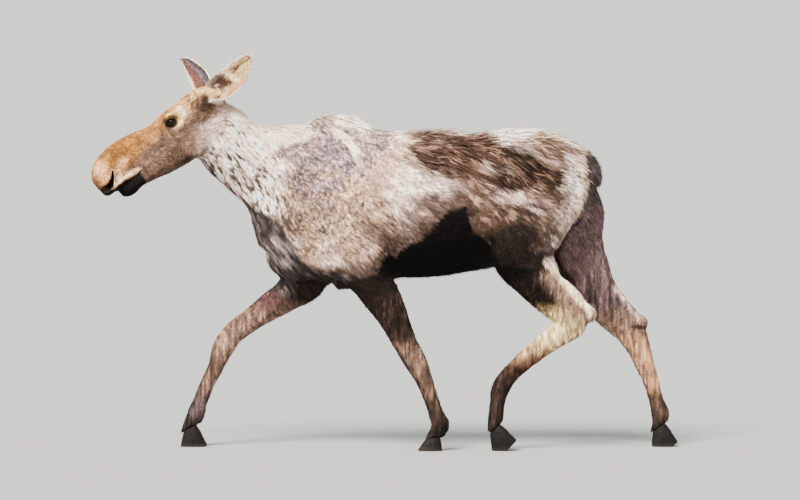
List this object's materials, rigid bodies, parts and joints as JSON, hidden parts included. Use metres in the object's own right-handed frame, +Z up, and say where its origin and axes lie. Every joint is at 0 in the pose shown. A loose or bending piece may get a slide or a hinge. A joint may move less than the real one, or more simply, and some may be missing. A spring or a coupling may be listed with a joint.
{
  "type": "moose",
  "caption": "Life-size model of a cow moose in mid stride: long drooping muzzle, humped withers, patchy half-moulted coat, cloven hooves",
  "frame": {"origin": "On the floor, below the middle of the moose's bounding box", "axes": "+Z up, the head towards -Y, the moose's left side on +X"},
  "size_m": [0.5494, 2.9342, 1.956],
  "materials": {
    "head_coat": "short hair lying along the body",
    "muzzle_coat": "short hair lying along the body",
    "jaw_coat": "short hair lying along the body",
    "neck_coat": "short hair lying along the body",
    "shoulder_coat": "short hair lying along the body",
    "barrel_coat": "short hair lying along the body",
    "haunch_coat": "short hair lying along the body",
    "tail_coat": "short hair lying along the body",
    "forearm_coat": "short hair lying along the body",
    "fore_cannon_coat": "short hair lying along the body",
    "fore_pastern_coat": "short hair lying along the body",
    "gaskin_coat": "short hair lying along the body",
    "hind_cannon_coat": "short hair lying along the body",
    "hind_pastern_coat": "short hair lying along the body",
    "ear_coat": "short hair lying along the body",
    "eyeball": "wet, dark and clear",
    "claw_horn": "dull black horn, worn at the rim",
    "dew_claw_horn": "dull black horn"
  },
  "bodies": {
    "root": {"head": "head_coat", "muzzle": "muzzle_coat", "lower_jaw": "jaw_coat", "neck": "neck_coat", "forequarters": "shoulder_coat", "barrel": "barrel_coat", "hindquarters": "haunch_coat", "tail": "tail_coat", "ear_left": "ear_coat", "ear_right": "ear_coat", "eye_left": "eyeball", "eye_right": "eyeball", "forearm_left": "forearm_coat", "fore_cannon_left": "fore_cannon_coat", "fore_pastern_left": "fore_pastern_coat", "gaskin_left": "gaskin_coat", "hind_cannon_left": "hind_cannon_coat", "hind_pastern_left": "hind_pastern_coat", "fore_claw_left_a": "claw_horn", "fore_dew_claw_left_a": "dew_claw_horn", "fore_claw_left_b": "claw_horn", "fore_dew_claw_left_b": "dew_claw_horn", "hind_claw_left_a": "claw_horn", "hind_dew_claw_left_a": "dew_claw_horn", "hind_claw_left_b": "claw_horn", "hind_dew_claw_left_b": "dew_claw_horn", "forearm_right": "forearm_coat", "fore_cannon_right": "fore_cannon_coat", "fore_pastern_right": "fore_pastern_coat", "gaskin_right": "gaskin_coat", "hind_cannon_right": "hind_cannon_coat", "hind_pastern_right": "hind_pastern_coat", "fore_claw_right_a": "claw_horn", "fore_dew_claw_right_a": "dew_claw_horn", "fore_claw_right_b": "claw_horn", "fore_dew_claw_right_b": "dew_claw_horn", "hind_claw_right_a": "claw_horn", "hind_dew_claw_right_a": "dew_claw_horn", "hind_claw_right_b": "claw_horn", "hind_dew_claw_right_b": "dew_claw_horn"}
  },
  "joints": []
}
